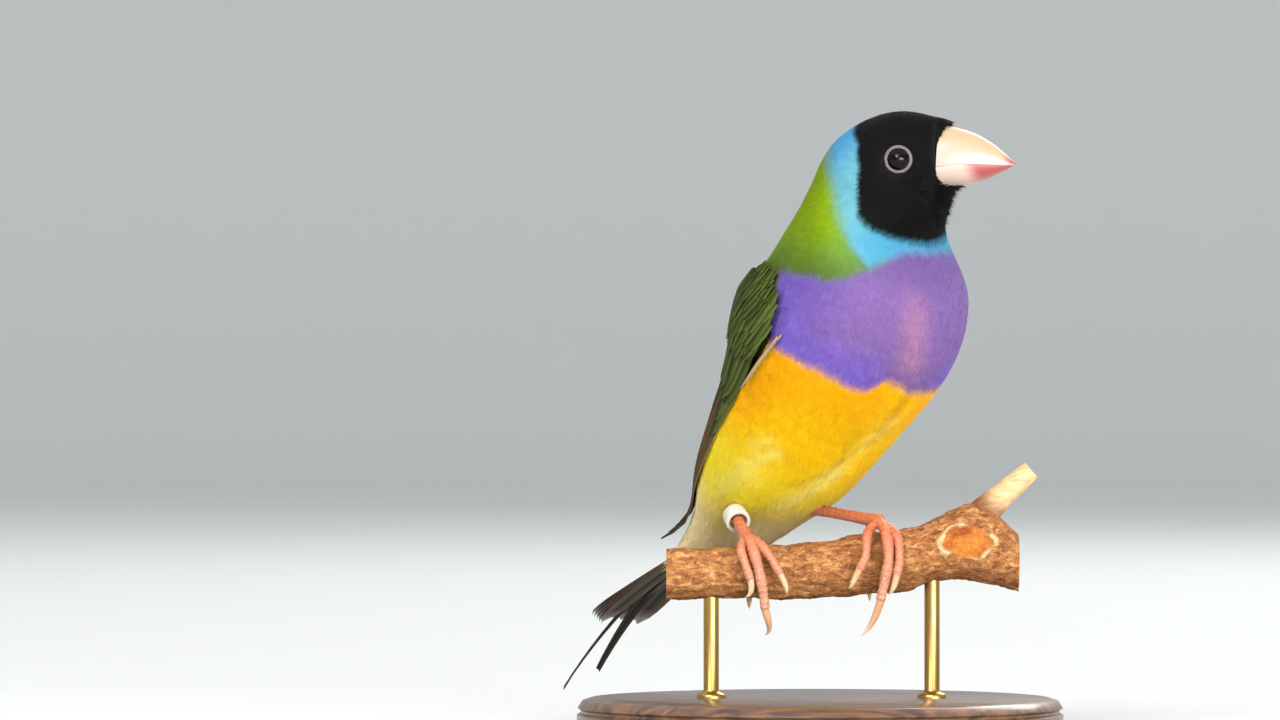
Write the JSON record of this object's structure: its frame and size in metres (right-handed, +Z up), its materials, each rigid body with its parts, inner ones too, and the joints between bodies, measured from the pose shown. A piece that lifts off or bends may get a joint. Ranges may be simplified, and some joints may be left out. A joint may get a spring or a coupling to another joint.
{
  "type": "gouldian finch on a display stand",
  "caption": "Still, life-size gouldian finch with black head, gripping a short cut branch held by rods on a flat round base.",
  "frame": {"origin": "centre of the stand's flat underside", "axes": "+Z up, branch along X, body facing -Y and a little +X, bill towards +X"},
  "size_m": [0.0786, 0.0905, 0.0962],
  "materials": {
    "black_feathers": "matt black feathers of the mask",
    "blue_feathers": "sky-blue feathers of the collar",
    "body_feathers": "soft feathers, purple breast over a yellow belly, green back",
    "wing_feathers": "smooth dark green vanes with brown primaries",
    "tail_feathers": "smooth blackish vanes with pale tips",
    "horn": "satin ivory horn with a rosy tip",
    "eye": "wet dark eye",
    "leg_skin": "scaled coral skin",
    "claw_horn": "translucent pale horn",
    "band": "plain white plastic band",
    "bark": "flaky tan bark with bare cut ends",
    "stand_wood": "satin turned hardwood",
    "stand_metal": "brushed brass rod"
  },
  "bodies": {
    "root": {"head": "black_feathers", "neck": "blue_feathers", "torso": "body_feathers", "thigh_right": "body_feathers", "thigh_left": "body_feathers", "wing_right": "wing_feathers", "wing_left": "wing_feathers", "tail": "tail_feathers", "bill_upper": "horn", "bill_lower": "horn", "eye_right": "eye", "eye_left": "eye", "leg_right": "leg_skin", "leg_left": "leg_skin", "leg_ring": "band", "perch": "bark", "stand_base": "stand_wood", "stand_rod_left": "stand_metal", "stand_rod_right": "stand_metal", "claw_right_middle": "claw_horn", "claw_right_inner": "claw_horn", "claw_right_outer": "claw_horn", "claw_right_hind": "claw_horn", "claw_left_middle": "claw_horn", "claw_left_inner": "claw_horn", "claw_left_outer": "claw_horn", "claw_left_hind": "claw_horn"}
  },
  "joints": []
}
